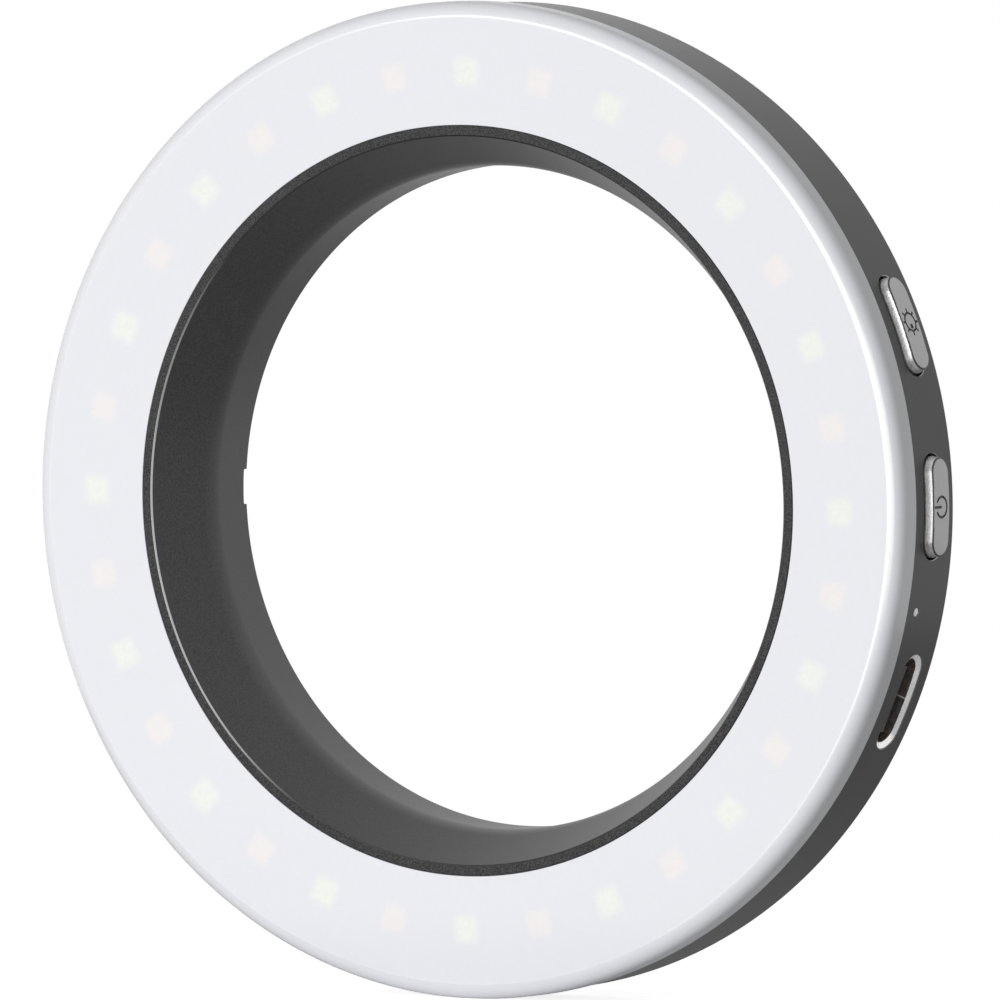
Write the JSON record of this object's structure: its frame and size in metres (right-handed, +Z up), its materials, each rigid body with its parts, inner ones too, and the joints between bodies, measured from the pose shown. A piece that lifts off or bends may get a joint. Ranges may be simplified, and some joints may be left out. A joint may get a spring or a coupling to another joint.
{
  "type": "led ring light",
  "caption": "Slim LED ring light that slips over a lens, with a white diffuser, flared black bore, two side buttons and a USB-C port.",
  "frame": {"origin": "on the ring's axis, in the plane of the rear spigot's end, at the rear mouth of the lens bore", "axes": "+Y along the ring's axis towards the camera, so the diffuser faces -Y; +X to the side with the buttons and the port; +Z up"},
  "size_m": [0.0912, 0.0121, 0.0908],
  "materials": {
    "diffuser": "satin",
    "housing": "black anodised",
    "sleeve": "fine sandblasted, black anodised",
    "cover": "black anodised",
    "button": "satin face, polished sides",
    "screw": "black oxide",
    "magnet": "nickel plated",
    "led_board": "white solder mask",
    "led_package": "matte",
    "cool_phosphor": "satin",
    "warm_phosphor": "satin",
    "tape": "matte",
    "circuit_board": "green solder mask",
    "component": "matte",
    "inductor": "matte",
    "capacitor": "satin",
    "contact": "gold plated",
    "cell": "foil pouch",
    "foam": "matte",
    "flex": "satin",
    "port_shell": "satin",
    "port_tongue": "satin",
    "light_guide": "clear",
    "plunger": "satin"
  },
  "bodies": {
    "ring": {"front_diffuser": "diffuser", "outer_housing": "housing", "lens_sleeve": "sleeve", "rear_cover": "cover", "rear_screws": "screw", "magnets": "magnet", "led_board": "led_board", "led_packages": "led_package", "cool_phosphor": "cool_phosphor", "warm_phosphor": "warm_phosphor", "thermal_tape": "tape", "main_board": "circuit_board", "board_screws": "screw", "header_block": "component", "header_pins": "contact", "charger_chip": "component", "driver_chip": "component", "inductor": "inductor", "capacitors": "capacitor", "battery_cells": "cell", "battery_pads": "foam", "battery_strip": "flex", "usb_shell": "port_shell", "usb_tongue": "port_tongue", "usb_contacts": "contact", "light_guide": "light_guide", "indicator_led": "led_package", "power_switch": "component", "brightness_switch": "component"},
    "power_key": {"power_button": "button", "power_plunger": "plunger"},
    "brightness_key": {"brightness_button": "button", "brightness_plunger": "plunger"}
  },
  "joints": [
    {"name": "power_press", "type": "slide", "parent": "ring", "child": "power_key", "axis": [-1, 0, -0.007], "range_m": [0, 0.0003], "stiffness_N_per_m": 3000, "springref_m": -0.0001},
    {"name": "brightness_press", "type": "slide", "parent": "ring", "child": "brightness_key", "axis": [-0.9285, 0, -0.3714], "range_m": [0, 0.0003], "stiffness_N_per_m": 3000, "springref_m": -0.0001}
  ]
}
